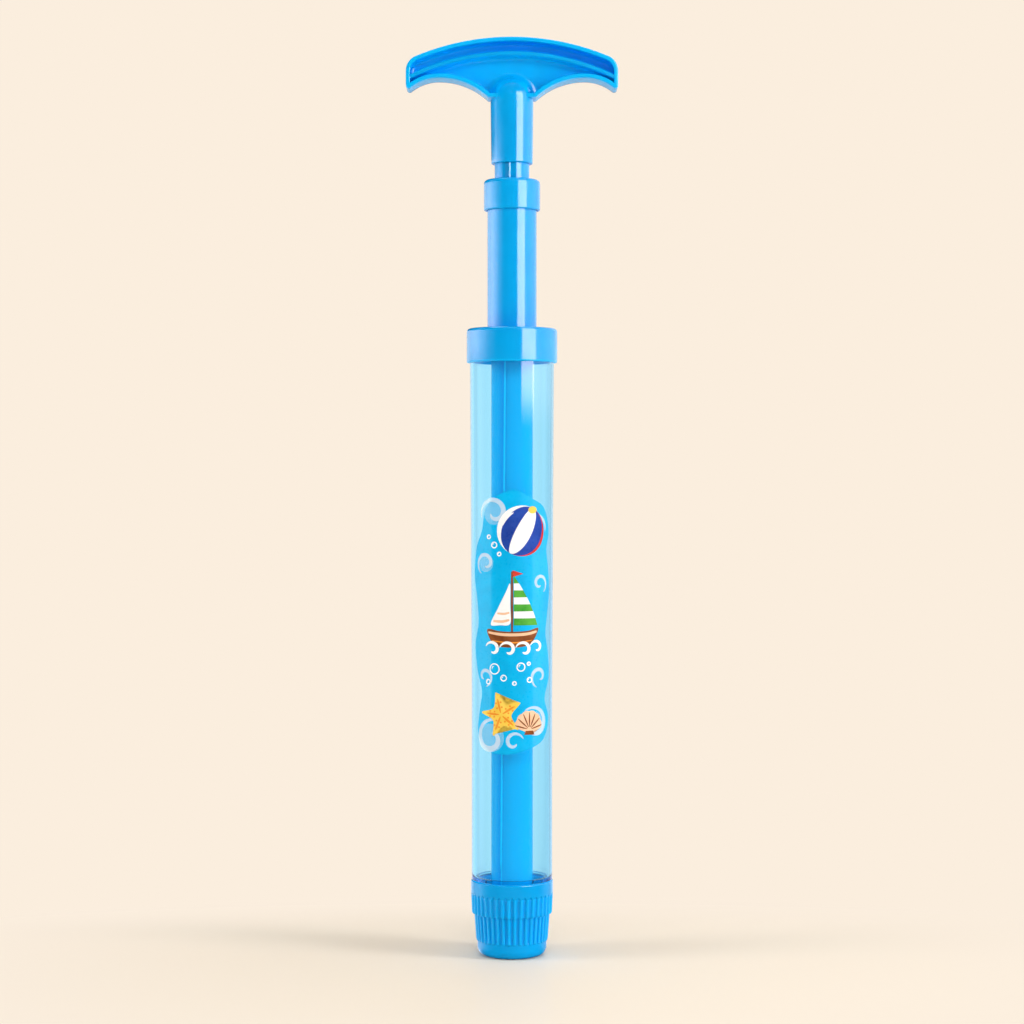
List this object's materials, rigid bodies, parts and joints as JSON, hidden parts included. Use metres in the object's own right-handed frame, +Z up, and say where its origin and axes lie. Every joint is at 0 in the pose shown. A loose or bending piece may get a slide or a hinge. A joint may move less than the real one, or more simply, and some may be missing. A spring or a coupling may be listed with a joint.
{
  "type": "water squirter",
  "caption": "Hand-pump water squirter with a T-grip, a sliding pump rod, a clear tinted barrel and a ribbed screw-on nozzle cap.",
  "frame": {"origin": "centre of the base, where the nozzle cap stands on the ground", "axes": "+Z up the tube from the jet to the grip, X along the grip, the front faces -Y"},
  "size_m": [0.1056, 0.0452, 0.4573],
  "materials": {
    "blue_plastic": "glossy moulded",
    "blue_tube": "glossy drawn",
    "clear_plastic": "clear, tinted pale blue",
    "white_plastic": "natural",
    "rubber": "matt"
  },
  "bodies": {
    "bottle": {"barrel": "clear_plastic", "barrel_collar": "blue_plastic", "collar_gasket": "rubber", "neck_tube": "blue_plastic", "gland_collar": "blue_plastic", "rod_bush": "white_plastic", "pump_cylinder": "blue_tube", "cylinder_foot": "blue_tube", "check_valve": "rubber"},
    "piston_seal": {"piston_oring": "rubber"},
    "plunger": {"handle": "blue_plastic", "plunger_rod": "blue_plastic", "piston": "white_plastic"},
    "cap_seal": {"cap_gasket": "rubber"},
    "cap": {"nozzle_cap": "blue_plastic"}
  },
  "joints": [
    {"name": "pump_slide", "type": "slide", "parent": "bottle", "child": "piston_seal", "axis": [0, 0, 1], "range_m": [0, 0.3318]},
    {"name": "grip_swivel", "type": "hinge", "parent": "piston_seal", "child": "plunger", "pos_m": [0, 0, 0], "axis": [0, 0, 1], "continuous": true},
    {"name": "cap_travel", "type": "slide", "parent": "bottle", "child": "cap_seal", "axis": [0, 0, 1], "range_m": [-0.0147, 0]},
    {"name": "cap_turn", "type": "hinge", "parent": "cap_seal", "child": "cap", "pos_m": [0, 0, 0], "axis": [0, 0, 1], "range_deg": [-1261, 0]}
  ],
  "couplings": [
    {"joint": "cap_turn", "follows": "cap_travel", "rad_per_m": 1496}
  ]
}
